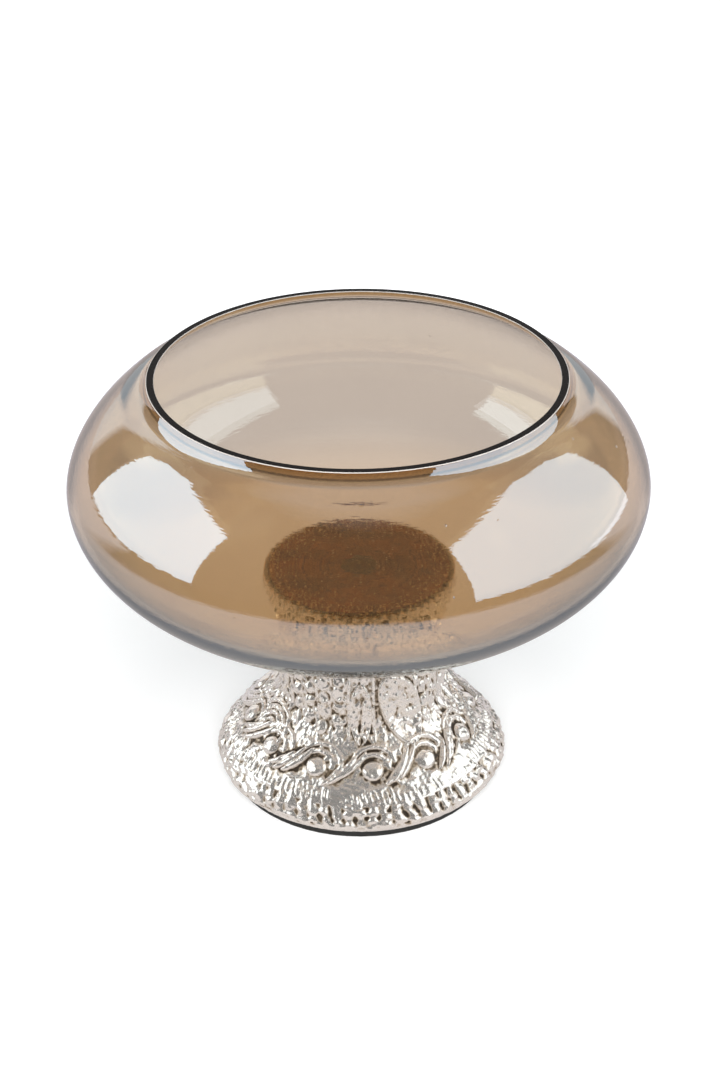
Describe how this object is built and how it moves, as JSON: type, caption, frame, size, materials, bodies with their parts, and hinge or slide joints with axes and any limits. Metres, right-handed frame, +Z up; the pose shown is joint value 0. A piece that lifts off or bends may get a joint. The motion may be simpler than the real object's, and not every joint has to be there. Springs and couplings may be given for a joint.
{
  "type": "footed glass bowl",
  "caption": "Wide, low blown glass bowl with an inward-curving shoulder and a ground rim, bonded on an ornamented cast metal pedestal; holds fruit, flowers or water.",
  "frame": {"origin": "centre of the resting face under the base pad, on the axis of the bowl", "axes": "+Z up along the axis of the bowl, out of its mouth; +X to the right of the pictured side, -Y towards the viewer"},
  "size_m": [0.25, 0.25, 0.1977],
  "materials": {
    "lustre_glass": "blown glass with an amber half-mirror lustre, polished, with a ground rim",
    "plated_casting": "silver plated rough casting with brown patina in its hollows",
    "clear_bond": "set adhesive film between glass and metal",
    "black_pad": "matt black foam rubber"
  },
  "bodies": {
    "root": {"glass_bowl": "lustre_glass", "cast_pedestal": "plated_casting", "bond_disc": "clear_bond", "base_pad": "black_pad"}
  },
  "joints": []
}
